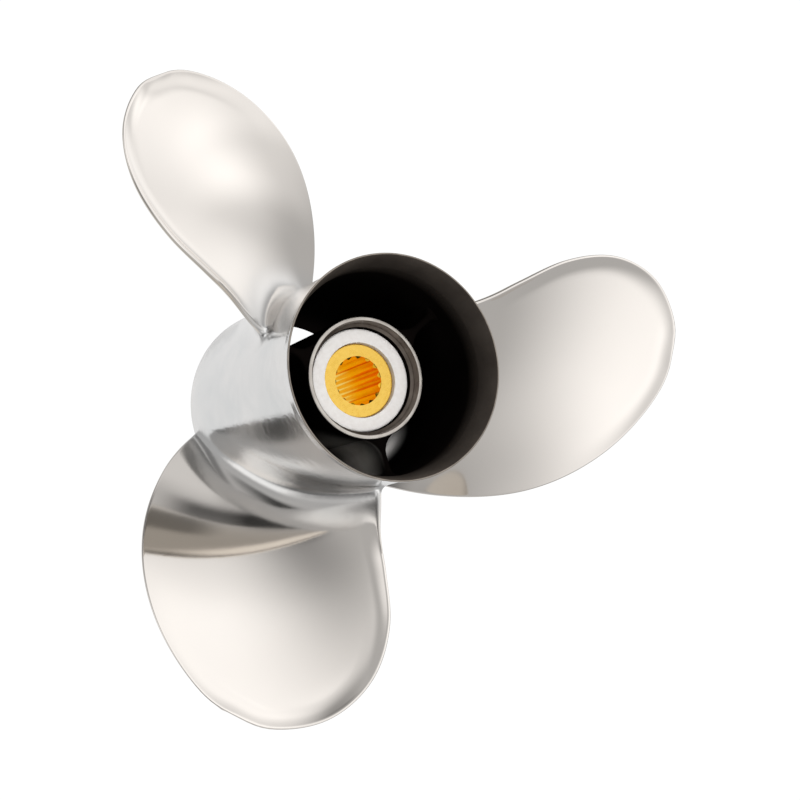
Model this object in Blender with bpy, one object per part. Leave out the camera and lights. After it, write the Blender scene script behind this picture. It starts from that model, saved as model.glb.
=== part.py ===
"""A three-blade boat propeller with a through-hub exhaust, standing on its forward rim.

Metres. The shaft axis is Z, the forward (engine) end is at z = 0 and the aft (exhaust) end is up.
Seen from aft the propeller turns clockwise: each blade leads with its clockwise, forward edge.
"""

import math

import bmesh
import bpy

# Driving dimensions: the hub
HUB_LENGTH = 0.1445
BARREL_RADIUS = 0.0525
AFT_RING_RADIUS = 0.054
AFT_RING_LENGTH = 0.009
AFT_LIP = 0.0016
PASSAGE_RADIUS_FORWARD = 0.0448
PASSAGE_RADIUS_AFT = 0.0498
BELL_DEPTH = 0.014
EDGE_BREAK = 0.001
SEAT_GAP = 0.0003

# Driving dimensions: the inner barrel, the bush and the sleeve
INNER_RADIUS_AFT = 0.030
INNER_RADIUS_FORWARD = 0.029
INNER_FORWARD_Z = 0.010
INNER_AFT_Z = 0.110
INNER_LIP = 0.0022
BUSH_RADIUS = 0.0253
BUSH_FORWARD_Z = 0.022
BUSH_AFT_Z = 0.1026
SLEEVE_RADIUS = 0.0181
SLEEVE_FORWARD_Z = 0.016
SLEEVE_AFT_Z = 0.1003
THRUST_SEAT_RADIUS = 0.0235

# Driving dimensions: the splined bore
SPLINE_TEETH = 15
SPLINE_MAJOR_RADIUS = 0.0126
SPLINE_MINOR_RADIUS = 0.0111
SPLINE_GROOVE_SHARE = 0.42
SPLINE_FLANK_SHARE = 0.10

# Driving dimensions: the ribs
RIB_COUNT = 3
RIB_THICKNESS = 0.0035
RIB_FORWARD_Z = 0.012
RIB_AFT_Z_INNER = 0.109
RIB_AFT_Z_OUTER = 0.112

# Driving dimensions: the blades
BLADE_COUNT = 3
PITCH = 0.442
BLADE_MIDDLE_Z = 0.054
RAKE = 0.581
RAKE_DROOP = 1.796
ROOT_THICKNESS = 0.0105
TIP_THICKNESS = 0.0032
LEADING_EDGE = 0.0018
TRAILING_EDGE = 0.0026
ROOT_FILLET = 0.011
CUP_DEPTH = 0.0028
CUP_LENGTH = 0.010
BLADE_ROWS = 24
BLADE_COLUMNS = 16
FOOT_STEPS = 5

# The blade's outline, as radius in metres and angle in degrees from its middle line. It runs from the
# trailing edge's root over the tip to the leading edge's root, and each edge starts at the barrel.
BLADE_OUTLINE = (
    (BARREL_RADIUS, 41.0),
    (0.0733, 36.6),
    (0.0944, 35.0),
    (0.119, 33.3),
    (0.1445, 28.9),
    (0.1643, 22.1),
    (0.174, 14.4),
    (0.1738, 8.9),
    (0.169, 2.4),
    (0.1485, -9.8),
    (0.1216, -21.1),
    (0.0867, -31.8),
    (BARREL_RADIUS, -41.0),
)

# Where things stand round the shaft, in degrees from +X towards +Y
BLADE_MIDDLE_ANGLE = 90.0
RIB_ANGLE = 134.5

RING_SEGMENTS = 72


def clear_scene():
    for obj in list(bpy.data.objects):
        bpy.data.objects.remove(obj, do_unlink=True)


def make_material(name, colour, metallic, roughness):
    material = bpy.data.materials.new(name)
    material.use_nodes = True
    shader = material.node_tree.nodes["Principled BSDF"]
    shader.inputs["Base Color"].default_value = (*colour, 1.0)
    shader.inputs["Metallic"].default_value = metallic
    shader.inputs["Roughness"].default_value = roughness
    return material


def add_object(name, mesh_data, material):
    bmesh.ops.recalc_face_normals(mesh_data, faces=mesh_data.faces)
    mesh = bpy.data.meshes.new(name)
    mesh_data.to_mesh(mesh)
    mesh_data.free()
    mesh.shade_smooth()
    mesh.set_sharp_from_angle(angle=math.radians(35))
    mesh.materials.append(material)
    obj = bpy.data.objects.new(name, mesh)
    bpy.context.scene.collection.objects.link(obj)
    return obj


def turned_ring(name, profile, material, segments=RING_SEGMENTS):
    """A closed ring: a closed outline of (radius, z) points turned once round Z."""
    mesh = bmesh.new()
    corners = [mesh.verts.new((radius, 0.0, z)) for radius, z in profile]
    edges = [mesh.edges.new((a, b)) for a, b in zip(corners, corners[1:] + corners[:1])]
    bmesh.ops.spin(
        mesh,
        geom=corners + edges,
        cent=(0.0, 0.0, 0.0),
        axis=(0.0, 0.0, 1.0),
        angle=math.tau,
        steps=segments,
        use_merge=True,
    )
    bmesh.ops.remove_doubles(mesh, verts=mesh.verts, dist=1e-6)
    return add_object(name, mesh, material)


def passage_radius(z):
    """The inside of the outer barrel, which widens towards the aft end as its core was drawn out."""
    share = z / (HUB_LENGTH - BELL_DEPTH)
    return PASSAGE_RADIUS_FORWARD + share * (PASSAGE_RADIUS_AFT - PASSAGE_RADIUS_FORWARD)


def make_outer_barrel(material):
    bell_z = HUB_LENGTH - BELL_DEPTH
    profile = (
        (PASSAGE_RADIUS_FORWARD, 0.0),
        (BARREL_RADIUS - EDGE_BREAK, 0.0),
        (BARREL_RADIUS, EDGE_BREAK),
        (BARREL_RADIUS, HUB_LENGTH - AFT_RING_LENGTH),
        (AFT_RING_RADIUS, HUB_LENGTH - EDGE_BREAK),
        (AFT_RING_RADIUS - EDGE_BREAK / 2, HUB_LENGTH),
        (AFT_RING_RADIUS - AFT_LIP, HUB_LENGTH),
        (PASSAGE_RADIUS_AFT, bell_z),
    )
    return turned_ring("outer_barrel", profile, material)


def inner_barrel_radius(z):
    """The outside of the inner barrel, which tapers the same way."""
    share = (z - INNER_FORWARD_Z) / (INNER_AFT_Z - INNER_FORWARD_Z)
    return INNER_RADIUS_FORWARD + share * (INNER_RADIUS_AFT - INNER_RADIUS_FORWARD)


def make_inner_barrel(material):
    bore = BUSH_RADIUS + SEAT_GAP
    mouth = INNER_RADIUS_AFT - INNER_LIP
    profile = (
        (THRUST_SEAT_RADIUS, INNER_FORWARD_Z),
        (INNER_RADIUS_FORWARD - EDGE_BREAK, INNER_FORWARD_Z),
        (INNER_RADIUS_FORWARD, INNER_FORWARD_Z + EDGE_BREAK),
        (INNER_RADIUS_AFT, INNER_AFT_Z - EDGE_BREAK / 2),
        (INNER_RADIUS_AFT - EDGE_BREAK / 2, INNER_AFT_Z),
        (mouth, INNER_AFT_Z),
        (mouth - EDGE_BREAK / 2, BUSH_AFT_Z + 0.003),
        (bore, BUSH_AFT_Z + 0.001),
        (bore, BUSH_FORWARD_Z - SEAT_GAP),
        (THRUST_SEAT_RADIUS, BUSH_FORWARD_Z - SEAT_GAP),
    )
    return turned_ring("inner_barrel", profile, material)


def make_drive_bush(material):
    bore = SLEEVE_RADIUS + SEAT_GAP
    profile = (
        (bore, BUSH_FORWARD_Z),
        (BUSH_RADIUS, BUSH_FORWARD_Z),
        (BUSH_RADIUS, BUSH_AFT_Z - EDGE_BREAK),
        (BUSH_RADIUS - EDGE_BREAK, BUSH_AFT_Z),
        (bore, BUSH_AFT_Z),
    )
    return turned_ring("drive_bush", profile, material)


def spline_outline():
    """The bore's outline seen along the shaft, with a groove for each tooth of the shaft."""
    points = []
    step = math.tau / SPLINE_TEETH
    groove = SPLINE_GROOVE_SHARE * step / 2
    flank = SPLINE_FLANK_SHARE * step / 2
    for tooth in range(SPLINE_TEETH):
        middle = tooth * step
        points.append((SPLINE_MINOR_RADIUS, middle - groove - flank))
        points.append((SPLINE_MAJOR_RADIUS, middle - groove + flank))
        points.append((SPLINE_MAJOR_RADIUS, middle + groove - flank))
        points.append((SPLINE_MINOR_RADIUS, middle + groove + flank))
    return points


def add_loop(mesh, polar_points, z):
    return [mesh.verts.new((r * math.cos(a), r * math.sin(a), z)) for r, a in polar_points]


def bridge(mesh, lower, upper):
    """Quads between two rings of the same number of points."""
    count = len(lower)
    for i in range(count):
        j = (i + 1) % count
        mesh.faces.new((lower[i], lower[j], upper[j], upper[i]))


def make_spline_sleeve(material):
    inside = spline_outline()
    outside = [(SLEEVE_RADIUS, angle) for _, angle in inside]
    small = [(SLEEVE_RADIUS - EDGE_BREAK / 2, angle) for _, angle in inside]
    mesh = bmesh.new()
    rings = (
        add_loop(mesh, inside, SLEEVE_FORWARD_Z),
        add_loop(mesh, outside, SLEEVE_FORWARD_Z),
        add_loop(mesh, outside, SLEEVE_AFT_Z - EDGE_BREAK / 2),
        add_loop(mesh, small, SLEEVE_AFT_Z),
        add_loop(mesh, inside, SLEEVE_AFT_Z),
    )
    for lower, upper in zip(rings, rings[1:] + rings[:1]):
        bridge(mesh, lower, upper)
    return add_object("spline_sleeve", mesh, material)


def make_rib(index, material):
    """A straight web from the inner barrel to the outer one, with a sloping aft edge."""
    angle = math.radians(RIB_ANGLE + index * 360 / RIB_COUNT)
    radial = (math.cos(angle), math.sin(angle))
    across = (-radial[1], radial[0])
    side = (
        (inner_barrel_radius(RIB_FORWARD_Z) + SEAT_GAP, RIB_FORWARD_Z),
        (passage_radius(RIB_FORWARD_Z) - 2 * SEAT_GAP, RIB_FORWARD_Z),
        (passage_radius(RIB_AFT_Z_OUTER) - 2 * SEAT_GAP, RIB_AFT_Z_OUTER),
        (inner_barrel_radius(RIB_AFT_Z_INNER) + SEAT_GAP, RIB_AFT_Z_INNER),
    )
    mesh = bmesh.new()
    loops = []
    for offset in (-RIB_THICKNESS / 2, RIB_THICKNESS / 2):
        loops.append(
            [
                mesh.verts.new(
                    (r * radial[0] + offset * across[0], r * radial[1] + offset * across[1], z)
                )
                for r, z in side
            ]
        )
    bridge(mesh, loops[0], loops[1])
    mesh.faces.new(loops[0])
    mesh.faces.new(loops[1])
    return add_object(f"rib_{index + 1}", mesh, material)


def catmull_rom(points, per_span):
    """A smooth curve through the points, with per_span samples to each span."""
    first = [2 * a - b for a, b in zip(points[0], points[1])]
    last = [2 * a - b for a, b in zip(points[-1], points[-2])]
    padded = [first, *points, last]
    curve = []
    for p0, p1, p2, p3 in zip(padded, padded[1:], padded[2:], padded[3:]):
        for step in range(per_span):
            t = step / per_span
            curve.append(
                [
                    0.5 * (2 * b + (c - a) * t + (2 * a - 5 * b + 4 * c - d) * t * t
                           + (3 * b - a - 3 * c + d) * t ** 3)
                    for a, b, c, d in zip(p0, p1, p2, p3)
                ]
            )
    curve.append(list(points[-1]))
    return curve


def even_samples(curve, count):
    """The curve resampled into count + 1 points at equal steps along it."""
    lengths = [0.0]
    for a, b in zip(curve, curve[1:]):
        lengths.append(lengths[-1] + math.dist(a, b))
    samples = []
    k = 0
    for i in range(count + 1):
        target = lengths[-1] * i / count
        while k < len(lengths) - 2 and lengths[k + 1] < target:
            k += 1
        share = (target - lengths[k]) / (lengths[k + 1] - lengths[k])
        samples.append([a + share * (b - a) for a, b in zip(curve[k], curve[k + 1])])
    return samples


def blade_edges():
    """Rows of ((radius, angle) at the trailing edge, the same at the leading edge), and the tip."""
    mean_radius = (BARREL_RADIUS + AFT_RING_RADIUS + 0.1) / 2
    flat = [(radius, math.radians(angle) * mean_radius) for radius, angle in BLADE_OUTLINE]
    outline = even_samples(catmull_rom(flat, 24), 2 * BLADE_ROWS)
    outline = [(radius, arc / mean_radius) for radius, arc in outline]
    rows = [(outline[k], outline[-1 - k]) for k in range(BLADE_ROWS)]
    return rows, outline[BLADE_ROWS]


def blade_z(radius, angle):
    """Height of the blade's face: a screw surface, raked aft, with less rake towards the tip."""
    out = radius - BARREL_RADIUS
    return BLADE_MIDDLE_Z + RAKE * out - RAKE_DROOP * out ** 2 + PITCH * angle / math.tau


def fillet_width(radius):
    """How much wider each side of the blade is close to the barrel."""
    rise = radius - BARREL_RADIUS - SEAT_GAP
    if rise >= ROOT_FILLET:
        return 0.0
    return ROOT_FILLET - math.sqrt(ROOT_FILLET ** 2 - (ROOT_FILLET - rise) ** 2)


def blade_thickness(radius, along):
    """Thickness at a share along the chord, from 0 at the trailing edge to 1 at the leading edge."""
    tip_radius = max(r for r, _ in BLADE_OUTLINE)
    out = (radius - BARREL_RADIUS) / (tip_radius - BARREL_RADIUS)
    middle = ROOT_THICKNESS + (TIP_THICKNESS - ROOT_THICKNESS) * min(1.0, out) ** 0.75
    edge = TRAILING_EDGE + (LEADING_EDGE - TRAILING_EDGE) * along
    bulge = (4 * along * (1 - along)) ** 0.7
    return edge + max(0.0, middle - edge) * bulge


def blade_point(radius, angle, offset):
    """A point on the blade's cylindrical section at this radius, moved off the face by offset."""
    slope = math.atan2(PITCH, math.tau * radius)
    turned = angle - offset * math.sin(slope) / radius
    z = blade_z(radius, angle) + offset * math.cos(slope)
    return radius, turned, z


def cup_offset(radius, distance):
    """The trailing edge curls aft over its last few millimetres, except close to the barrel."""
    if distance >= CUP_LENGTH:
        return 0.0
    fade = min(1.0, max(0.0, (radius - BARREL_RADIUS - 0.008) / 0.03))
    return CUP_DEPTH * fade * (1 - distance / CUP_LENGTH) ** 2


def blade_row(trailing, leading, side):
    """One row of points across the blade on its aft side (1) or its forward side (-1)."""
    points = []
    chord = math.dist(
        (trailing[0], trailing[1] * trailing[0], blade_z(*trailing)),
        (leading[0], leading[1] * leading[0], blade_z(*leading)),
    )
    for column in range(BLADE_COLUMNS + 1):
        along = (1 - math.cos(math.pi * column / BLADE_COLUMNS)) / 2
        radius = trailing[0] + (leading[0] - trailing[0]) * along
        angle = trailing[1] + (leading[1] - trailing[1]) * along
        half = blade_thickness(radius, along) / 2
        ends = min(1.0, 0.35 + 3 * along * (1 - along))
        flare = fillet_width(radius) * ends
        offset = side * (half + flare) + cup_offset(radius, along * chord)
        points.append(blade_point(radius, angle, offset))
    return points


def make_blade(index, material):
    rows, tip = blade_edges()
    foot_radius = BARREL_RADIUS + SEAT_GAP
    rows[0] = ((foot_radius, rows[0][0][1]), (foot_radius, rows[0][1][1]))
    turn = math.radians(BLADE_MIDDLE_ANGLE + index * 360 / BLADE_COUNT)
    mesh = bmesh.new()

    def vertex(point):
        radius, angle, z = point
        return mesh.verts.new((radius * math.cos(angle + turn), radius * math.sin(angle + turn), z))

    aft_rows = [blade_row(trailing, leading, 1) for trailing, leading in rows]
    forward_rows = [blade_row(trailing, leading, -1) for trailing, leading in rows]
    loops = [
        [vertex(p) for p in aft] + [vertex(p) for p in reversed(forward)]
        for aft, forward in zip(aft_rows, forward_rows)
    ]
    for lower, upper in zip(loops, loops[1:]):
        bridge(mesh, lower, upper)
    close_tip(mesh, loops[-1], tip, vertex)
    close_foot(mesh, loops[0], aft_rows[0], forward_rows[0], vertex)
    return add_object(f"blade_{index + 1}", mesh, material)


def close_tip(mesh, loop, tip, vertex):
    """A short strip along the tip, between the last row and the outline's outermost point."""
    half = TIP_THICKNESS / 3
    cup = cup_offset(tip[0], 0.0) / 2
    peak_aft = vertex(blade_point(tip[0], tip[1], cup + half))
    peak_forward = vertex(blade_point(tip[0], tip[1], cup - half))
    count = len(loop) // 2
    aft = loop[:count]
    forward = loop[count:]
    for a, b in zip(aft, aft[1:]):
        mesh.faces.new((a, b, peak_aft))
    for a, b in zip(forward, forward[1:]):
        mesh.faces.new((a, b, peak_forward))
    mesh.faces.new((aft[-1], forward[0], peak_forward, peak_aft))
    mesh.faces.new((forward[-1], aft[0], peak_aft, peak_forward))


def close_foot(mesh, loop, aft_row, forward_row, vertex):
    """The foot follows the barrel's round, so it's cut into steps from its aft side to its forward side."""
    count = len(aft_row)
    strips = [loop[:count]]
    for step in range(1, FOOT_STEPS):
        share = step / FOOT_STEPS
        middle = [
            tuple(a + share * (f - a) for a, f in zip(aft, forward))
            for aft, forward in zip(aft_row, forward_row)
        ]
        strips.append([vertex(point) for point in middle])
    strips.append(loop[count:][::-1])
    for near, far in zip(strips, strips[1:]):
        for i in range(count - 1):
            mesh.faces.new((near[i], near[i + 1], far[i + 1], far[i]))
    trailing = [strip[0] for strip in strips]
    leading = [strip[-1] for strip in strips]
    # The first loop's short ends span the foot's steps, so they are filled with one face each
    mesh.faces.new(trailing)
    mesh.faces.new(leading[::-1])


def main():
    clear_scene()
    steel = make_material("polished_stainless", (0.78, 0.77, 0.74), 1.0, 0.08)
    dark_steel = make_material("exhaust_stained_steel", (0.05, 0.045, 0.04), 0.6, 0.5)
    white_plastic = make_material("bush_plastic", (0.80, 0.78, 0.72), 0.0, 0.55)
    brass = make_material("sleeve_brass", (0.85, 0.58, 0.16), 1.0, 0.3)
    make_outer_barrel(steel)
    make_inner_barrel(dark_steel)
    for index in range(RIB_COUNT):
        make_rib(index, dark_steel)
    for index in range(BLADE_COUNT):
        make_blade(index, steel)
    make_drive_bush(white_plastic)
    make_spline_sleeve(brass)


main()
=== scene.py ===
import math
from collections import namedtuple

import bmesh
import bpy
import numpy as np
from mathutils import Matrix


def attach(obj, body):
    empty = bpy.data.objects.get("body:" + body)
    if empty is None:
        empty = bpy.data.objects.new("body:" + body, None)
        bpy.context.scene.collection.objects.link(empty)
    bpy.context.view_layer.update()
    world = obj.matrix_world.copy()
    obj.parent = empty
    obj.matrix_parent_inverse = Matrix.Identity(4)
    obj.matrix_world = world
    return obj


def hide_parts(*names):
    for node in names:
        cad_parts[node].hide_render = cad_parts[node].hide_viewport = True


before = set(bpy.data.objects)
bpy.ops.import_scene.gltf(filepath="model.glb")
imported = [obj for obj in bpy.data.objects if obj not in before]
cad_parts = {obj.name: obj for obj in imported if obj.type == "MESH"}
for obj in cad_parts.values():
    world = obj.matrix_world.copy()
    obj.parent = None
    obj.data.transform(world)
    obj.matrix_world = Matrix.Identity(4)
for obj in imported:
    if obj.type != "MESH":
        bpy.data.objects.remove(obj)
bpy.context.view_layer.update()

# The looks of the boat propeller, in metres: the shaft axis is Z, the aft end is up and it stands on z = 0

BODY = "root"

# The camera, found by fitting the rims, rings and blade edges of the photograph
CAMERA_PLACE = (-0.4037, 0.0474, 0.9759)
CAMERA_TURN_DEGREES = (8.902, -24.356, -29.662)
CAMERA_LENS = 89.559
CAMERA_SENSOR = 36.0
CAMERA_CLIP = (0.01, 50.0)

# The floor
FLOOR_RADIUS = 3.0
FLOOR_SEGMENTS = 96
FLOOR_GREY = 0.04
FLOOR_ROUGHNESS = 0.9
FLOOR_GLOW = 1.0
WHITE = (1.0, 1.0, 1.0, 1.0)

# The studio: strengths, and the elevations in degrees where each light starts and is full
WALL_LIGHT = 0.45
CEILING_LIGHT = 0.70
CEILING_START = 15.0
CEILING_FULL = 55.0
LAMP_LIGHT = 1.8
LAMP_START = 60.0
LAMP_FULL = 80.0
GROUND_LIGHT = 0.40
GROUND_START = -48.0
GROUND_FULL = -64.0
DARKEST = 0.03
# Instead of the lamp, reflections show a ceiling dimmed by this, so that no polished side burns out
MIRRORED_LAMP = -0.30

# A soft box, or a black flag where its light is less than none, with all but the light in degrees
SoftBox = namedtuple("SoftBox", "azimuth elevation lean half_size border light")

# Set one by one after the reflections in the photograph, in the order of what mirrors them
SOFT_BOXES = (
    # The upper left blade: a low light before it, a strip for its bright streak and two lights for its tip
    SoftBox(5, -10, -25, half_size=(0, 10), border=(25, 35), light=0.60),
    SoftBox(-5, 10, -35, half_size=(0, 10), border=(10, 25), light=0.40),
    SoftBox(-20, 10, 10, half_size=(0, 10), border=(25, 10), light=0.30),
    SoftBox(-18, 16, 0, half_size=(8, 4), border=(10, 6), light=0.18),
    # The lower blade: a broad light and a low one for its open face, and a tall flag for its shaded side
    SoftBox(50, 25, 0, half_size=(20, 5), border=(40, 20), light=0.35),
    SoftBox(50, -10, 0, half_size=(5, 5), border=(15, 10), light=0.20),
    SoftBox(90, 27, -25, half_size=(0, 20), border=(20, 15), light=-0.35),
    # Small flags for its dark wedge, and for the dark patch on the barrel above it
    SoftBox(64, 7, 0, half_size=(8, 3), border=(10, 4), light=-0.40),
    SoftBox(78, -16, -30, half_size=(15, 3), border=(10, 6), light=-0.26),
    SoftBox(86, 8, 0, half_size=(2, 1), border=(12, 6), light=-0.45),
    # Its root: the light that draws the ridge of the fillet, and the flag beyond it
    SoftBox(140, -5, 0, half_size=(5, 10), border=(20, 15), light=0.60),
    SoftBox(180, 0, 0, half_size=(10, 10), border=(10, 10), light=-0.30),
    # The right blade: a flag that shades it towards the hub, and a light under it for its lower edge
    SoftBox(-175, 50, 15, half_size=(20, 10), border=(45, 30), light=-0.40),
    SoftBox(-135, -15, 0, half_size=(15, 10), border=(15, 10), light=0.20),
)

# The hub
HUB_LENGTH = 0.1445
BARREL_RADIUS = 0.0525
AFT_RING_RADIUS = 0.054
AFT_RING_LENGTH = 0.009
AFT_LAND = 0.0016
AFT_LIP = 0.0009
PASSAGE_RADIUS_FORWARD = 0.0448
PASSAGE_RADIUS_AFT = 0.0498
BELL_DEPTH = 0.014
INNER_RADIUS_AFT = 0.030
INNER_RADIUS_FORWARD = 0.029
INNER_FORWARD_Z = 0.010
INNER_AFT_Z = 0.110
INNER_LIP = 0.0022
THRUST_SEAT_RADIUS = 0.0235
BUSH_RADIUS = 0.0253
BUSH_FORWARD_Z = 0.022
BUSH_AFT_Z = 0.1026
SLEEVE_RADIUS = 0.0181
SLEEVE_FORWARD_Z = 0.016
SLEEVE_AFT_Z = 0.1003
SLEEVE_EDGE = 0.0004
HAIRLINE = 0.0003

# The counterbore over the bush: how much its wall narrows, and how far above the bush wall and floor end
COUNTERBORE_TAPER = 0.0006
COUNTERBORE_WALL_END = 0.003
COUNTERBORE_FLOOR = 0.002

# The splined bore
SPLINE_TEETH = 15
TOOTH_STEPS = 20
SPLINE_MAJOR_RADIUS = 0.0126
SPLINE_MINOR_RADIUS = 0.0111
SPLINE_CREASE_DEGREES = 28.0
MOUTH_RADIUS = 0.0121
MOUTH_DEPTH = 0.0006
MOUTH_SLOPE = 0.7
# Painted light and shade in the bore: paler deep inside up to these heights, and darker grooves between
# these radii towards the mouth
DEEP_LIGHT_FADES_FROM = 0.052
DEEP_LIGHT_GONE_AT = 0.072
GROOVE_SHADE_RADII = (SPLINE_MINOR_RADIUS + 0.0004, SPLINE_MAJOR_RADIUS - 0.0002)

# The webs between the barrels
WEB_COUNT = 3
WEB_ANGLE = 134.5
WEB_THICKNESS = 0.0035
WEB_FORWARD_Z = 0.012
WEB_AFT_Z_INNER = 0.109
WEB_AFT_Z_OUTER = 0.112
WEB_FILLET_INNER = 0.009
WEB_FILLET_OUTER = 0.0045
# Their rows, over about the webs' length: the rounded ends, and the shares where the middle rows lie
WEB_SPAN = 0.1
WEB_END = WEB_THICKNESS / 2
WEB_END_ROWS = 7
WEB_MIDDLE_ROWS = 12
WEB_MIDDLE_SHARES = (0.04, 0.96)
WEB_COLUMNS = 41

# Painted light on the soot: a lit patch of grey steel on one face of the lowest web, and a painted sheen of
# grey steel on the wall deep inside the passage by it
LIT_WEB_PATCH = (-0.012, -0.034, 0.083)
LIT_WEB_PATCH_REACH = 0.030
LIT_FACE_NORMAL_X = (-0.8, -0.4)
WALL_SHEEN_PATCH = (0.0215, -0.0415, 0.046)
WALL_SHEEN_REACH = 0.020
# From this height to the aft mouth the soot is painted lighter, as light falling in
MOUTH_LIGHT_FROM = 0.120

# The blades
BLADE_COUNT = 3
BLADE_ANGLE = 90.0
PITCH = 0.442
BLADE_MIDDLE_Z = 0.054
RAKE = 0.581
RAKE_DROOP = 1.796
ROOT_THICKNESS = 0.0105
TIP_THICKNESS = 0.0032
THINNING_POWER = 0.75
BULGE_POWER = 0.8
LEADING_EDGE = 0.0018
TRAILING_EDGE = 0.0026
AFT_SHARE = 0.15
BLADE_SEAT = 0.0006

# The fillets at the blades' roots, and the shares of a row over which they shrink towards its two feet
ROOT_FILLET = 0.0115
TRAILING_FOOT = 0.005
TRAILING_FOOT_SHARE = 0.45
LEADING_FOOT_AFT = 0.005
LEADING_FOOT_FORWARD = 0.001
LEADING_FOOT_SHARE = 0.35
TRAILING_ROOT_FILLET = 0.0025
LEADING_ROOT_FILLET = 0.0005
GROUND_RISE = 1.8
GROUND_SPREAD = 1.5
GROUND_POWER = 2.5

# The trailing edge's cup: the heights above the barrel where it starts and is full, and where it runs out
CUP_DEPTH = 0.0028
CUP_LENGTH = 0.010
CUP_RISE = (0.006, 0.034)
CUP_RUN_OUT = (0.48, 0.66)

# The blade's outline as in the part's source: radius in metres, and angle in degrees from its middle line
BLADE_OUTLINE = (
    (BARREL_RADIUS, 41.0),
    (0.0733, 36.6),
    (0.0944, 35.0),
    (0.119, 33.3),
    (0.1445, 28.9),
    (0.1643, 22.1),
    (0.174, 14.4),
    (0.1738, 8.9),
    (0.169, 2.4),
    (0.1485, -9.8),
    (0.1216, -21.1),
    (0.0867, -31.8),
    (BARREL_RADIUS, -41.0),
)
# The radius at which it is laid flat to draw its curve, and how far it is drawn in above this height
FLAT_RADIUS = 0.10325
OUTLINE_INSET = 0.0004
INSET_RISE = 0.02

# How fine the meshes are
RING_SEGMENTS = 192
CORNER_STEPS = 5
OUTLINE_STEPS = 40
BLADE_ROWS = 90
FILLET_ROWS = 22
BLADE_COLUMNS = 56
MERGE_DISTANCE = 1e-7
CREASE_DEGREES = 50.0
BLADE_CREASE_DEGREES = 60.0

# Colours, each as the darker and the lighter tone that it wanders between
AFT_STEEL = ((0.88, 0.835, 0.79), (0.91, 0.86, 0.81))
# The blades' forward faces: the same steel, painted darker as shade
SHADED_FORWARD_STEEL = ((0.68, 0.63, 0.565), (0.73, 0.68, 0.61))
BARREL_STEEL = ((0.70, 0.71, 0.71), (0.86, 0.84, 0.825))
RIM_STEEL = ((0.46, 0.425, 0.385), (0.58, 0.545, 0.50))
LIP_STEEL = ((0.24, 0.21, 0.18), (0.36, 0.32, 0.28))
BORE_STAIN = ((0.10, 0.08, 0.065), (0.19, 0.16, 0.135))
SOOT = ((0.0015, 0.0012, 0.001), (0.006, 0.0045, 0.004))
# Soot painted lighter towards the aft mouth, as light falling in
MOUTH_LIGHT_SOOT = ((0.06, 0.05, 0.043), (0.11, 0.093, 0.08))
# Grey steel painted into the exhaust as light: a lit web face and a sheen on the wall
LIT_WEB_TONES = ((0.78, 0.72, 0.66), (0.95, 0.90, 0.84))
WALL_SHEEN_TONES = ((0.74, 0.71, 0.68), (0.94, 0.90, 0.86))
PLASTIC = ((0.91, 0.87, 0.83), (0.99, 0.96, 0.93))
TURNED_BRASS = ((0.76, 0.48, 0.085), (0.88, 0.58, 0.12))
# Brass painted pale as light deep inside the bore
LIT_DEEP_BRASS = ((1.0, 0.72, 0.20), (1.0, 0.80, 0.30))
TOOTH_BRASS = ((1.0, 0.56, 0.03), (1.0, 0.64, 0.05))
# Brass painted darker as shade in the bore's grooves
SHADED_GROOVE_BRASS = ((0.82, 0.38, 0.015), (0.94, 0.46, 0.022))
BRASS_TINT = (1.0, 0.75, 0.35, 1.0)

# The stretch of a noise that the tones and finishes are spread over
NOISE_RANGE = (0.3, 0.7)

# How high above the barrel its duller finish gives way to the blades': colour, roughness and unevenness
COLOUR_CHANGE = (0.001, 0.020)
ROUGHNESS_CHANGE = (0.003, 0.020)
UNEVENNESS_CHANGE = (0.0, 0.008)
EXTRA_ROUGHNESS = 0.10
BARREL_UNEVENNESS = 0.55
BLADE_UNEVENNESS = 0.02


# Nodes

class Nodes:
    """A short way to add and feed the nodes of a material or a world."""

    def __init__(self, owner):
        owner.use_nodes = True
        self.tree = owner.node_tree

    def add(self, kind, **settings):
        node = self.tree.nodes.new(kind)
        for name, value in settings.items():
            setattr(node, name, value)
        return node

    def feed(self, socket, value):
        """Links an output to a socket, or sets a plain value on it."""
        if isinstance(value, bpy.types.NodeSocket):
            self.tree.links.new(value, socket)
        else:
            socket.default_value = value

    def math(self, operation, *values):
        node = self.add("ShaderNodeMath", operation=operation)
        for socket, value in zip(node.inputs, values):
            self.feed(socket, value)
        return node.outputs["Value"]

    def split(self, vector):
        """The three parts of a vector."""
        node = self.add("ShaderNodeSeparateXYZ")
        self.feed(node.inputs["Vector"], vector)
        return tuple(node.outputs)

    def remap(self, value, start, end, low, high, interpolation="LINEAR"):
        """A number that goes from low to high while the value goes from start to end."""
        node = self.add("ShaderNodeMapRange", interpolation_type=interpolation)
        names = ("Value", "From Min", "From Max", "To Min", "To Max")
        for name, number in zip(names, (value, start, end, low, high)):
            self.feed(node.inputs[name], number)
        return node.outputs["Result"]

    def fade(self, value, start, end, low=0.0, high=1.0):
        """The same, eased at both ends."""
        return self.remap(value, start, end, low, high, interpolation="SMOOTHSTEP")


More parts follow.
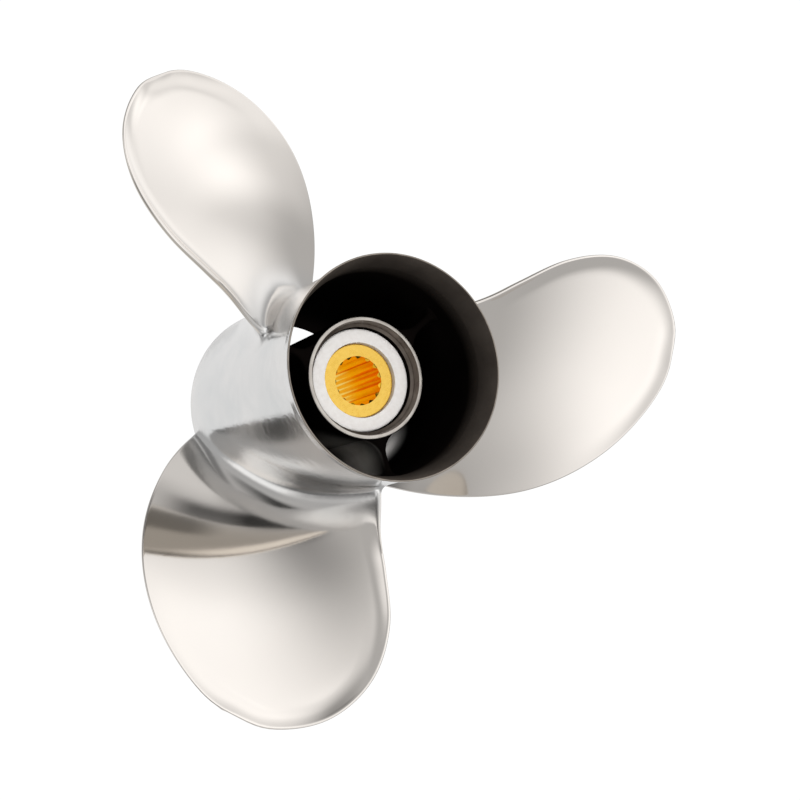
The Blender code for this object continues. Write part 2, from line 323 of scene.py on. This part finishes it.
class Material(Nodes):
    """The nodes of one material, round its own shader."""

    def __init__(self, name):
        self.material = bpy.data.materials.new(name)
        super().__init__(self.material)
        self.shader = self.tree.nodes["Principled BSDF"]

    def set(self, **values):
        """Feeds the shader's sockets, which are named here with _ for a space."""
        for name, value in values.items():
            self.feed(self.shader.inputs[name.replace("_", " ")], value)

    def place(self):
        return self.add("ShaderNodeTexCoord").outputs["Object"]

    def height(self, start, end):
        """A share that rises from 0 to 1 between two heights."""
        return self.remap(self.split(self.place())[2], start, end, 0.0, 1.0)

    def outward(self, start, end, low=0.0, high=1.0):
        """A number that goes from low to high between two distances from the shaft axis."""
        flat = self.add("ShaderNodeVectorMath", operation="MULTIPLY")
        self.feed(flat.inputs[0], self.place())
        self.feed(flat.inputs[1], (1.0, 1.0, 0.0))
        length = self.add("ShaderNodeVectorMath", operation="LENGTH")
        self.feed(length.inputs[0], flat.outputs["Vector"])
        return self.remap(length.outputs["Value"], start, end, low, high)

    def above_barrel(self, rise, low=0.0, high=1.0):
        return self.outward(BARREL_RADIUS + rise[0], BARREL_RADIUS + rise[1], low, high)

    def near(self, place, reach):
        """A share that is 1 at a place and falls softly to 0 round it."""
        away = self.add("ShaderNodeVectorMath", operation="DISTANCE")
        self.feed(away.inputs[0], self.place())
        self.feed(away.inputs[1], place)
        return self.fade(away.outputs["Value"], reach, 0.0)

    def noise(self, scale, detail=3.0, roughness=0.5):
        node = self.add("ShaderNodeTexNoise")
        for name, value in (("Scale", scale), ("Detail", detail), ("Roughness", roughness)):
            self.feed(node.inputs[name], value)
        self.feed(node.inputs["Vector"], self.place())
        return node.outputs["Fac"]

    def wander(self, low, high, **noise):
        """A number that wanders between low and high over the surface."""
        return self.remap(self.noise(**noise), *NOISE_RANGE, low, high)

    def mottle(self, tones, **noise):
        """A colour that wanders between two tones over the surface."""
        node = self.add("ShaderNodeValToRGB")
        for element, position, tone in zip(node.color_ramp.elements, NOISE_RANGE, tones):
            element.position = position
            element.color = (*tone, 1.0)
        self.feed(node.inputs["Fac"], self.noise(**noise))
        return node.outputs["Color"]

    def mix(self, share, first, second):
        node = self.add("ShaderNodeMix", data_type="RGBA")
        sockets = {socket.identifier: socket for socket in (*node.inputs, *node.outputs)}
        for name, value in (("Factor_Float", share), ("A_Color", first), ("B_Color", second)):
            self.feed(sockets[name], value)
        return sockets["Result_Color"]

    def bump(self, height, strength, distance):
        node = self.add("ShaderNodeBump")
        for name, value in (("Height", height), ("Strength", strength), ("Distance", distance)):
            self.feed(node.inputs[name], value)
        return node.outputs["Normal"]


# Camera, floor and light

def make_camera():
    data = bpy.data.cameras.new("camera")
    data.lens = CAMERA_LENS
    data.sensor_width = CAMERA_SENSOR
    data.clip_start, data.clip_end = CAMERA_CLIP
    camera = bpy.data.objects.new("camera", data)
    camera.location = CAMERA_PLACE
    camera.rotation_euler = [math.radians(angle) for angle in CAMERA_TURN_DEGREES]
    bpy.context.scene.collection.objects.link(camera)
    bpy.context.scene.camera = camera
    bpy.context.scene.view_settings.view_transform = "Standard"


def make_floor():
    """A round white floor that glows enough to leave no shadow, as on the photograph's white ground."""
    mesh = bpy.data.meshes.new("floor")
    shape = bmesh.new()
    bmesh.ops.create_circle(shape, cap_ends=True, segments=FLOOR_SEGMENTS, radius=FLOOR_RADIUS)
    shape.to_mesh(mesh)
    shape.free()
    floor = bpy.data.objects.new("floor", mesh)
    bpy.context.scene.collection.objects.link(floor)
    m = Material("floor_white")
    m.set(Base_Color=(FLOOR_GREY, FLOOR_GREY, FLOOR_GREY, 1.0), Roughness=FLOOR_ROUGHNESS)
    m.set(Specular_IOR_Level=0.0, Emission_Color=WHITE, Emission_Strength=FLOOR_GLOW)
    mesh.materials.append(m.material)
    # The polished steel mirrors the studio below it instead of this floor
    floor.visible_glossy = False


def box_share(studio, azimuth, elevation, box):
    """The share of a soft box's light from a direction: all of it in the middle, none past the border."""
    aside = studio.math("WRAP", studio.math("SUBTRACT", azimuth, box.azimuth), 180.0, -180.0)
    above = studio.math("SUBTRACT", elevation, box.elevation)
    cosine = math.cos(math.radians(box.lean))
    sine = math.sin(math.radians(box.lean))
    along = studio.math("MULTIPLY_ADD", above, sine, studio.math("MULTIPLY", aside, cosine))
    over = studio.math("MULTIPLY_ADD", aside, -sine, studio.math("MULTIPLY", above, cosine))
    shares = []
    for offset, half, border in zip((along, over), box.half_size, box.border):
        shares.append(studio.fade(studio.math("ABSOLUTE", offset), half, half + border, 1.0, 0.0))
    return studio.math("MULTIPLY", *shares)


def make_world():
    """Plain white for the camera, and for the part a studio whose light depends on the direction.

    The lamp lights what is dull, and reflections show MIRRORED_LAMP in its place.
    """
    degrees = 180 / math.pi
    world = bpy.data.worlds.new("studio")
    studio = Nodes(world)
    x, y, z = studio.split(studio.add("ShaderNodeTexCoord").outputs["Generated"])
    azimuth = studio.math("MULTIPLY", studio.math("ARCTAN2", y, x), degrees)
    elevation = studio.math("MULTIPLY", studio.math("ARCSINE", z), degrees)
    ray = studio.add("ShaderNodeLightPath").outputs
    light = studio.fade(elevation, CEILING_START, CEILING_FULL, WALL_LIGHT, WALL_LIGHT + CEILING_LIGHT)
    lamp = studio.math("MULTIPLY_ADD", ray["Is Glossy Ray"], MIRRORED_LAMP - LAMP_LIGHT, LAMP_LIGHT)
    light = studio.math("MULTIPLY_ADD", studio.fade(elevation, LAMP_START, LAMP_FULL), lamp, light)
    ground = studio.fade(elevation, GROUND_FULL, GROUND_START, GROUND_LIGHT, 0.0)
    light = studio.math("ADD", light, ground)
    for box in SOFT_BOXES:
        share = box_share(studio, azimuth, elevation, box)
        light = studio.math("MULTIPLY_ADD", share, box.light, light)
    light = studio.math("MAXIMUM", light, DARKEST)
    light = studio.math("MAXIMUM", light, ray["Is Camera Ray"])
    background = studio.tree.nodes["Background"]
    studio.feed(background.inputs["Strength"], light)
    studio.feed(background.inputs["Color"], WHITE)
    bpy.context.scene.world = world


# Materials

def polished_steel(name, tones):
    """Hand-polished stainless steel: bright blades, and a duller barrel with faint cast unevenness."""
    m = Material(name)
    blades = m.mottle(tones, scale=14.0)
    barrel = m.mottle(BARREL_STEEL, scale=24.0, detail=4.0)
    polish = m.wander(0.05, 0.09, scale=22.0, detail=5.0, roughness=0.6)
    uneven = m.above_barrel(UNEVENNESS_CHANGE, BARREL_UNEVENNESS, BLADE_UNEVENNESS)
    m.set(Metallic=1.0, Base_Color=m.mix(m.above_barrel(COLOUR_CHANGE), barrel, blades))
    m.set(Roughness=m.math("ADD", polish, m.above_barrel(ROUGHNESS_CHANGE, EXTRA_ROUGHNESS, 0.0)))
    m.set(Normal=m.bump(m.noise(scale=190.0, detail=4.0, roughness=0.6), uneven, distance=0.0003))
    return m.material


def bare_rim(name, tones):
    """A machined rim of satin steel."""
    m = Material(name)
    m.set(Metallic=1.0, Base_Color=m.mottle(tones, scale=160.0, detail=4.0))
    m.set(Roughness=m.wander(0.26, 0.38, scale=240.0, detail=4.0))
    m.set(Normal=m.bump(m.noise(scale=900.0), strength=0.25, distance=0.0002))
    return m.material


def exhaust_black():
    """The inside of the exhaust: soot, painted lighter towards the aft mouth as light falling in, and
    painted light as grey steel in two places: a lit web face and a sheen on the wall.
    """
    m = Material("exhaust_black")
    deep = m.mottle(SOOT, scale=26.0, detail=5.0)
    # Painted light: the soot lighter towards the aft mouth
    mouth = m.mottle(MOUTH_LIGHT_SOOT, scale=40.0, detail=5.0)
    soot = m.mix(m.height(MOUTH_LIGHT_FROM, HUB_LENGTH), deep, mouth)
    # Painted light: grey steel on the face of the lowest web that faces the light, and a metallic painted
    # sheen on the wall by it
    normal_x = m.split(m.add("ShaderNodeNewGeometry").outputs["Normal"])[0]
    one_face = m.remap(normal_x, *LIT_FACE_NORMAL_X, 1.0, 0.0)
    web = m.math("MULTIPLY", m.near(LIT_WEB_PATCH, LIT_WEB_PATCH_REACH), one_face)
    lit_web_tone = m.mottle(LIT_WEB_TONES, scale=90.0, detail=4.0)
    wall = m.near(WALL_SHEEN_PATCH, WALL_SHEEN_REACH)
    wall_sheen_tone = m.mottle(WALL_SHEEN_TONES, scale=70.0, detail=4.0)
    m.set(Base_Color=m.mix(wall, m.mix(web, soot, lit_web_tone), wall_sheen_tone), Metallic=wall)
    m.set(Roughness=m.wander(0.42, 0.58, scale=45.0, detail=4.0), Specular_IOR_Level=0.0)
    m.set(Normal=m.bump(m.noise(scale=420.0, detail=4.0), strength=0.12, distance=0.0004))
    return m.material


def stained_bore():
    """The counterbore over the bush: brown-grey stained steel."""
    m = Material("stained_bore")
    m.set(Metallic=0.8, Base_Color=m.mottle(BORE_STAIN, scale=120.0, detail=4.0))
    m.set(Roughness=m.wander(0.30, 0.45, scale=160.0, detail=4.0))
    return m.material


def bush_plastic():
    """Off-white moulded plastic with a fine mottle."""
    m = Material("bush_plastic")
    m.set(Metallic=0.0, Base_Color=m.mottle(PLASTIC, scale=380.0, roughness=0.6))
    m.set(Roughness=m.wander(0.42, 0.58, scale=500.0, detail=2.0))
    m.set(Normal=m.bump(m.noise(scale=1100.0), strength=0.3, distance=0.0003))
    return m.material


def turned_brass():
    """Yellow brass, turned on the face."""
    m = Material("turned_brass")
    m.set(Metallic=1.0, Base_Color=m.mottle(TURNED_BRASS, scale=420.0, detail=4.0))
    m.set(Roughness=m.wander(0.24, 0.34, scale=420.0))
    m.set(Normal=m.bump(m.noise(scale=1100.0), strength=0.25, distance=0.0002))
    return m.material


def broached_brass():
    """The bore: pale yellow deep inside as painted light, and deep yellow towards the mouth with its
    grooves painted darker as shade.
    """
    m = Material("broached_brass")
    # Painted light deep inside, and painted shade in the grooves towards the mouth
    lit_deep = m.mottle(LIT_DEEP_BRASS, scale=160.0)
    teeth = m.mottle(TOOTH_BRASS, scale=160.0)
    grooves = m.mottle(SHADED_GROOVE_BRASS, scale=160.0)
    teeth_and_shaded_grooves = m.mix(m.outward(*GROOVE_SHADE_RADII), teeth, grooves)
    m.set(Metallic=1.0, Base_Color=m.mix(m.height(DEEP_LIGHT_FADES_FROM, DEEP_LIGHT_GONE_AT), lit_deep, teeth_and_shaded_grooves))
    m.set(Roughness=m.wander(0.12, 0.18, scale=200.0), Specular_Tint=BRASS_TINT)
    return m.material


# Mesh helpers

def add_piece(name, points, faces, materials, nodes, finishes=None, crease_degrees=CREASE_DEGREES):
    """A smooth mesh piece that rides on the body and stands for the named CAD nodes."""
    mesh = bpy.data.meshes.new(name)
    mesh.from_pydata([tuple(map(float, point)) for point in points], [], faces)
    for material in materials:
        mesh.materials.append(material)
    if finishes is not None:
        mesh.polygons.foreach_set("material_index", finishes)
    shape = bmesh.new()
    shape.from_mesh(mesh)
    bmesh.ops.remove_doubles(shape, verts=shape.verts, dist=MERGE_DISTANCE)
    bmesh.ops.recalc_face_normals(shape, faces=shape.faces)
    shape.to_mesh(mesh)
    shape.free()
    mesh.shade_smooth()
    mesh.set_sharp_from_angle(angle=math.radians(crease_degrees))
    piece = bpy.data.objects.new(name, mesh)
    bpy.context.scene.collection.objects.link(piece)
    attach(piece, BODY)
    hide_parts(*nodes)


def point_at(radius, angle, z):
    """The points at these distances from the shaft axis, angles round it and heights."""
    return np.stack(np.broadcast_arrays(radius * np.cos(angle), radius * np.sin(angle), z), axis=-1)


def grid_faces(rows, columns, offset=0, rows_meet=False, columns_meet=False):
    """Quads over rows by columns of vertices, where the last row or column may meet the first again."""
    faces = []
    for row in range(rows if rows_meet else rows - 1):
        low = offset + row * columns
        high = offset + (row + 1) % rows * columns
        for column in range(columns if columns_meet else columns - 1):
            ahead = (column + 1) % columns
            faces.append((low + column, low + ahead, high + ahead, high + column))
    return faces


def smooth_step(value, low, high):
    share = np.clip((value - low) / (high - low), 0.0, 1.0)
    return share * share * (3 - 2 * share)


def unit(vector):
    return vector / np.linalg.norm(vector)


# A corner of a turned outline, with the radius that rounds it and the number of its material
Corner = namedtuple("Corner", "radius z rounding finish")


def rounded_outline(corners):
    """The points of a closed outline, each corner an arc of its rounding, and their finishes."""
    places = [np.array((corner.radius, corner.z)) for corner in corners]
    points = []
    finishes = []
    for i, corner in enumerate(corners):
        here = places[i]
        if corner.rounding == 0:
            points.append(here)
            finishes.append(corner.finish)
            continue
        back = unit(places[i - 1] - here)
        ahead = unit(places[(i + 1) % len(corners)] - here)
        half = math.acos(np.clip(back @ ahead, -1.0, 1.0)) / 2
        centre = here + unit(back + ahead) * corner.rounding / math.sin(half)
        start = back * corner.rounding / math.tan(half) + here - centre
        end = ahead * corner.rounding / math.tan(half) + here - centre
        sweep = math.pi - 2 * half
        for step in range(CORNER_STEPS + 1):
            share = step / CORNER_STEPS
            first = math.sin((1 - share) * sweep) / math.sin(sweep)
            second = math.sin(share * sweep) / math.sin(sweep)
            points.append(centre + first * start + second * end)
            finishes.append(corner.finish)
    return np.array(points), finishes


def turned(corners):
    """Vertices, faces and finishes of a closed outline turned once round the shaft axis."""
    outline, finishes = rounded_outline(corners)
    radius, z = outline.T
    angles = [math.tau * step / RING_SEGMENTS for step in range(RING_SEGMENTS)]
    vertices = np.concatenate([point_at(radius, angle, z) for angle in angles])
    faces = grid_faces(RING_SEGMENTS, len(outline), rows_meet=True, columns_meet=True)
    return vertices, faces, finishes * RING_SEGMENTS


# The hub

def passage_radius(z):
    share = z / (HUB_LENGTH - BELL_DEPTH)
    return PASSAGE_RADIUS_FORWARD + share * (PASSAGE_RADIUS_AFT - PASSAGE_RADIUS_FORWARD)


def inner_barrel_radius(z):
    share = (z - INNER_FORWARD_Z) / (INNER_AFT_Z - INNER_FORWARD_Z)
    return INNER_RADIUS_FORWARD + share * (INNER_RADIUS_AFT - INNER_RADIUS_FORWARD)


def make_outer_barrel(steel, lip, black):
    polished, tinted, dark = range(3)
    vertices, faces, finishes = turned((
        Corner(PASSAGE_RADIUS_FORWARD, 0.0, rounding=0.0008, finish=dark),
        Corner(BARREL_RADIUS, 0.0, rounding=0.0022, finish=polished),
        Corner(BARREL_RADIUS, HUB_LENGTH - AFT_RING_LENGTH, rounding=0.0012, finish=polished),
        Corner(AFT_RING_RADIUS, HUB_LENGTH - AFT_LAND, rounding=0.0003, finish=polished),
        Corner(AFT_RING_RADIUS, HUB_LENGTH, rounding=0.0004, finish=tinted),
        Corner(AFT_RING_RADIUS - AFT_LIP, HUB_LENGTH, rounding=0.0003, finish=dark),
        Corner(PASSAGE_RADIUS_AFT, HUB_LENGTH - BELL_DEPTH, rounding=0.0015, finish=dark),
    ))
    add_piece("outer_barrel_shell", vertices, faces, (steel, lip, black),
              ("outer_barrel",), finishes)


def make_inner_barrel(black, rim, stain):
    dark, bare, stained = range(3)
    bore = BUSH_RADIUS + HAIRLINE
    mouth = INNER_RADIUS_AFT - INNER_LIP
    wall_end = BUSH_AFT_Z + COUNTERBORE_WALL_END
    seat_z = BUSH_FORWARD_Z - HAIRLINE
    vertices, faces, finishes = turned((
        Corner(THRUST_SEAT_RADIUS, INNER_FORWARD_Z, rounding=0.0003, finish=dark),
        Corner(INNER_RADIUS_FORWARD, INNER_FORWARD_Z, rounding=0.001, finish=dark),
        Corner(INNER_RADIUS_AFT, INNER_AFT_Z, rounding=0.0006, finish=bare),
        Corner(mouth, INNER_AFT_Z, rounding=0.0003, finish=stained),
        Corner(mouth - COUNTERBORE_TAPER, wall_end, rounding=0.0003, finish=stained),
        Corner(bore, BUSH_AFT_Z + COUNTERBORE_FLOOR, rounding=0.0002, finish=dark),
        Corner(bore, seat_z, rounding=0.0, finish=dark),
        Corner(THRUST_SEAT_RADIUS, seat_z, rounding=0.0, finish=dark),
    ))
    add_piece("inner_barrel_tube", vertices, faces, (black, rim, stain),
              ("inner_barrel",), finishes)


def round_fillet(rise, radius):
    """How far a fillet of this radius reaches sideways at this height above the face it stands on."""
    left = np.clip(radius - rise, 0.0, None)
    return radius - np.sqrt(np.clip(radius ** 2 - left ** 2, 0.0, None))


def web_levels():
    """How far along a web its rows lie, from 0 to WEB_SPAN and closer together in the rounded ends."""
    ends = WEB_END * (1 - np.cos(np.linspace(0, math.pi / 2, WEB_END_ROWS)))
    middle = np.linspace(*WEB_MIDDLE_SHARES, WEB_MIDDLE_ROWS) * WEB_SPAN
    return np.concatenate((ends, middle, WEB_SPAN - ends[::-1]))


def web_row(level, turn):
    """One row of a web: out along one face from barrel to barrel, and back along the other."""
    across = (1 - np.cos(np.linspace(0, math.pi, WEB_COLUMNS))) / 2
    aft = WEB_AFT_Z_INNER + across * (WEB_AFT_Z_OUTER - WEB_AFT_Z_INNER)
    z = WEB_FORWARD_Z + level / WEB_SPAN * (aft - WEB_FORWARD_Z)
    inner = inner_barrel_radius(z) - HAIRLINE
    outer = passage_radius(z) + HAIRLINE
    radius = inner + across * (outer - inner)
    width = WEB_THICKNESS / 2 + round_fillet(radius - inner, WEB_FILLET_INNER)
    width = width + round_fillet(outer - radius, WEB_FILLET_OUTER)
    near_end = min(level, WEB_SPAN - level)
    width = width * math.sqrt(max(0.0, 1 - max(0.0, 1 - near_end / WEB_END) ** 2))
    one_face = point_at(radius, turn + width / radius, z)
    other_face = point_at(radius, turn - width / radius, z)
    return np.concatenate((one_face, other_face[::-1]))


def make_web(index, black):
    """A web between the barrels, filleted into both, with rounded ends."""
    turn = math.radians(WEB_ANGLE + index * 360 / WEB_COUNT)
    rows = [web_row(level, turn) for level in web_levels()]
    faces = grid_faces(len(rows), len(rows[0]), columns_meet=True)
    add_piece(f"web_{index + 1}", np.concatenate(rows), faces, (black,),
              (f"rib_{index + 1}",))


def make_bush(plastic):
    bore = SLEEVE_RADIUS + HAIRLINE
    vertices, faces, _ = turned((
        Corner(bore, BUSH_FORWARD_Z, rounding=0.0, finish=0),
        Corner(BUSH_RADIUS, BUSH_FORWARD_Z, rounding=0.0004, finish=0),
        Corner(BUSH_RADIUS, BUSH_AFT_Z, rounding=0.0011, finish=0),
        Corner(bore, BUSH_AFT_Z, rounding=0.0004, finish=0),
    ))
    add_piece("bush_ring", vertices, faces, (plastic,), ("drive_bush",))


def spline_radius(angle):
    """Radius of the splined bore: rounded teeth and grooves."""
    middle = (SPLINE_MAJOR_RADIUS + SPLINE_MINOR_RADIUS) / 2
    swing = (SPLINE_MAJOR_RADIUS - SPLINE_MINOR_RADIUS) / 2
    return middle + swing * np.cos(SPLINE_TEETH * angle)


def make_sleeve(brass, bore_brass):
    outside, inside = range(2)
    count = SPLINE_TEETH * TOOTH_STEPS
    angle = np.arange(count) * math.tau / count
    spline = spline_radius(angle)
    mouth_end = SLEEVE_AFT_Z - MOUTH_DEPTH
    half_round = SLEEVE_EDGE * 0.3
    face_start = SLEEVE_EDGE * 1.5
    # Radius and height of each loop, with the finish between it and the next: the last one meets the first
    loops = (
        (spline, SLEEVE_FORWARD_Z, outside),
        (SLEEVE_RADIUS, SLEEVE_FORWARD_Z, outside),
        (SLEEVE_RADIUS, SLEEVE_AFT_Z - SLEEVE_EDGE, outside),
        (SLEEVE_RADIUS - half_round, SLEEVE_AFT_Z - half_round, outside),
        (SLEEVE_RADIUS - SLEEVE_EDGE, SLEEVE_AFT_Z, outside),
        (SLEEVE_RADIUS - face_start, SLEEVE_AFT_Z, outside),
        (MOUTH_RADIUS, SLEEVE_AFT_Z, inside),
        (MOUTH_RADIUS, mouth_end, inside),
        (spline, mouth_end - np.abs(MOUTH_RADIUS - spline) * MOUTH_SLOPE, inside),
    )
    vertices = np.concatenate([point_at(radius, angle, z) for radius, z, _ in loops])
    finishes = [finish for _, _, finish in loops for _ in range(count)]
    faces = grid_faces(len(loops), count, rows_meet=True, columns_meet=True)
    add_piece("splined_sleeve", vertices, faces, (brass, bore_brass),
              ("spline_sleeve",), finishes, SPLINE_CREASE_DEGREES)


# The blades

def catmull_rom(points, per_span):
    """A smooth curve through the points, with this many steps from each to the next."""
    points = np.array(points, float)
    padded = np.vstack((2 * points[0] - points[1], points, 2 * points[-1] - points[-2]))
    t = np.arange(per_span)[None, :, None] / per_span
    p0, p1, p2, p3 = padded[:-3, None], padded[1:-2, None], padded[2:-1, None], padded[3:, None]
    curve = 0.5 * (2 * p1 + (p2 - p0) * t + (2 * p0 - 5 * p1 + 4 * p2 - p3) * t ** 2
                   + (3 * p1 - p0 - 3 * p2 + p3) * t ** 3)
    return np.vstack((curve.reshape(-1, points.shape[1]), points[-1]))


def soft_fillet(rise, radius):
    """The sideways reach of a hand-ground fillet, which runs out slowly up the blade."""
    left = 1 - np.sqrt(np.clip(rise / (radius * GROUND_RISE), 0.0, 1.0))
    return radius * GROUND_SPREAD * left ** GROUND_POWER


def row_ends(length):
    """How far along an outline of this length the rows end, the trailing ends first."""
    reach = ROOT_FILLET * GROUND_RISE
    low = reach * (1 - np.cos(np.linspace(0, math.pi / 2, FILLET_ROWS + 1)))
    high = np.linspace(reach, length / 2, BLADE_ROWS - FILLET_ROWS + 1)[1:]
    ends = np.concatenate((low, high))
    return np.concatenate((ends, (length - ends[:-1])[::-1]))


def blade_outline():
    """Radius and angle at the rows' ends, up the trailing edge, over the tip and down the leading edge."""
    flat = [(radius, math.radians(angle) * FLAT_RADIUS) for radius, angle in BLADE_OUTLINE]
    curve = catmull_rom(flat, OUTLINE_STEPS)
    lengths = np.concatenate(((0.0,), np.cumsum(np.hypot(*np.diff(curve, axis=0).T))))
    places = row_ends(lengths[-1])
    radius = np.interp(places, lengths, curve[:, 0])
    angle = np.interp(places, lengths, curve[:, 1]) / FLAT_RADIUS
    rise = np.clip(radius - BARREL_RADIUS, 0.0, None)
    trailing = soft_fillet(rise, TRAILING_ROOT_FILLET)
    leading = -soft_fillet(rise, LEADING_ROOT_FILLET)
    widen = np.where(places < lengths[-1] / 2, trailing, leading)
    inset = OUTLINE_INSET * np.clip(rise / INSET_RISE, 0, 1)
    return np.stack((radius - inset, angle + widen / radius), axis=1)


def blade_z(radius, angle):
    """Height of the blade's middle surface, a screw surface raked aft that droops towards the tip."""
    out = radius - BARREL_RADIUS
    return BLADE_MIDDLE_Z + RAKE * out - RAKE_DROOP * out ** 2 + PITCH * angle / math.tau


def nearest(points, line):
    """Distance from each point to a line of points, and how far along the line, from 0 to 1."""
    start = line[:-1]
    step = line[1:] - start
    apart = points[..., None, :] - start
    share = np.clip((apart * step).sum(-1) / (step * step).sum(-1), 0.0, 1.0)
    distance = np.linalg.norm(apart - share[..., None] * step, axis=-1)
    best = distance.argmin(-1)
    along = best + np.take_along_axis(share, best[..., None], -1)[..., 0]
    return distance.min(-1), along / len(step)


def fillet_radius(along, side):
    """The root fillet: full along the middle, smaller towards the two edges."""
    leading_foot = LEADING_FOOT_AFT if side == 1 else LEADING_FOOT_FORWARD
    leading = smooth_step(1 - along, 0.0, LEADING_FOOT_SHARE)
    trailing = smooth_step(along, 0.0, TRAILING_FOOT_SHARE)
    return np.minimum(leading_foot + (ROOT_FILLET - leading_foot) * leading,
                      TRAILING_FOOT + (ROOT_FILLET - TRAILING_FOOT) * trailing)


def stand_off(radius, along, distance, reach, side):
    """How far a face stands off the middle surface: round at the edge and filleted at the root."""
    rise = np.clip(radius - BARREL_RADIUS, 0.0, None)
    edge = (TRAILING_EDGE + (LEADING_EDGE - TRAILING_EDGE) * smooth_step(along, 0.0, 1.0)) / 2
    edge = edge + soft_fillet(rise, fillet_radius(along, side))
    nose = edge * np.sqrt(np.clip(1 - np.clip(1 - distance / edge, 0.0, 1.0) ** 2, 0.0, 1.0))
    out = np.clip((radius - BARREL_RADIUS) / (reach - BARREL_RADIUS), 0, 1)
    middle = ROOT_THICKNESS + (TIP_THICKNESS - ROOT_THICKNESS) * out ** THINNING_POWER
    bulge = np.clip(middle - TRAILING_EDGE, 0.0, None) * (4 * along * (1 - along)) ** BULGE_POWER
    share = AFT_SHARE if side == 1 else 1 - AFT_SHARE
    return nose + share * bulge


def cup(radius, distance, where):
    """How far the blade is bent aft near its trailing edge."""
    start = smooth_step(radius, BARREL_RADIUS + CUP_RISE[0], BARREL_RADIUS + CUP_RISE[1])
    run_out = 1 - smooth_step(where, *CUP_RUN_OUT)
    return CUP_DEPTH * start * run_out * np.clip(1 - distance / CUP_LENGTH, 0.0, 1.0) ** 2


def blade_sheet(outline, side):
    """Radius, angle and height over one face of the blade: side 1 is aft and side -1 forward."""
    rows = len(outline) // 2
    trailing = outline[:rows]
    leading = outline[-1:-rows - 1:-1]
    along = (1 - np.cos(np.linspace(0, math.pi, BLADE_COLUMNS + 1))) / 2
    radius = trailing[:, :1] + (leading[:, :1] - trailing[:, :1]) * along
    angle = trailing[:, 1:] + (leading[:, 1:] - trailing[:, 1:]) * along
    z = blade_z(radius, angle)
    edge_line = point_at(outline[:, 0], outline[:, 1], blade_z(outline[:, 0], outline[:, 1]))
    distance, where = nearest(point_at(radius, angle, z), edge_line)
    distance = np.where((along == 0) | (along == 1), 0.0, distance)
    reach = outline[:, 0].max()
    offset = side * stand_off(radius, along, distance, reach, side) + cup(radius, distance, where)
    slope = np.arctan2(PITCH, math.tau * radius)
    return radius, angle - offset * np.sin(slope) / radius, z + offset * np.cos(slope)


def make_blade(index, steel, shaded_back_steel):
    """A blade of two faces that meet along its outline, with its foot just under the barrel's surface."""
    outline = blade_outline()
    turn = math.radians(BLADE_ANGLE + index * 360 / BLADE_COUNT)
    rows = len(outline) // 2
    columns = BLADE_COLUMNS + 1
    tip_radius, tip_angle = outline[rows]
    tip = point_at(tip_radius, tip_angle + turn, blade_z(tip_radius, tip_angle))
    vertices = []
    faces = []
    finishes = []
    # The aft face takes the steel, the forward face its darker copy with painted shade
    for finish, side in enumerate((1, -1)):
        radius, angle, z = blade_sheet(outline, side)
        radius = np.vstack((radius[:1] - BLADE_SEAT, radius))
        angle = np.vstack((angle[:1], angle))
        z = np.vstack((z[:1], z))
        points = point_at(radius, angle + turn, z).reshape(-1, 3)
        offset = len(vertices)
        last_row = offset + rows * columns
        peak = offset + len(points)
        sheet = grid_faces(rows + 1, columns, offset)
        sheet += [(last_row + i, last_row + i + 1, peak) for i in range(columns - 1)]
        vertices += [*points, tip]
        faces += sheet if side == 1 else [face[::-1] for face in sheet]
        finishes += [finish] * len(sheet)
    add_piece(f"blade_{index + 1}_surface", vertices, faces, (steel, shaded_back_steel),
              (f"blade_{index + 1}",), finishes, BLADE_CREASE_DEGREES)


def main():
    make_camera()
    make_floor()
    make_world()
    steel = polished_steel("polished_stainless_steel", AFT_STEEL)
    # A darker copy of the same steel for the blades' forward faces: painted shade
    shaded_back_steel = polished_steel("forward_face_shaded_steel", SHADED_FORWARD_STEEL)
    rim = bare_rim("bare_steel_rim", RIM_STEEL)
    lip = bare_rim("tinted_steel_lip", LIP_STEEL)
    black = exhaust_black()
    make_outer_barrel(steel, lip, black)
    make_inner_barrel(black, rim, stained_bore())
    for index in range(WEB_COUNT):
        make_web(index, black)
    for index in range(BLADE_COUNT):
        make_blade(index, steel, shaded_back_steel)
    make_bush(bush_plastic())
    make_sleeve(turned_brass(), broached_brass())


main()
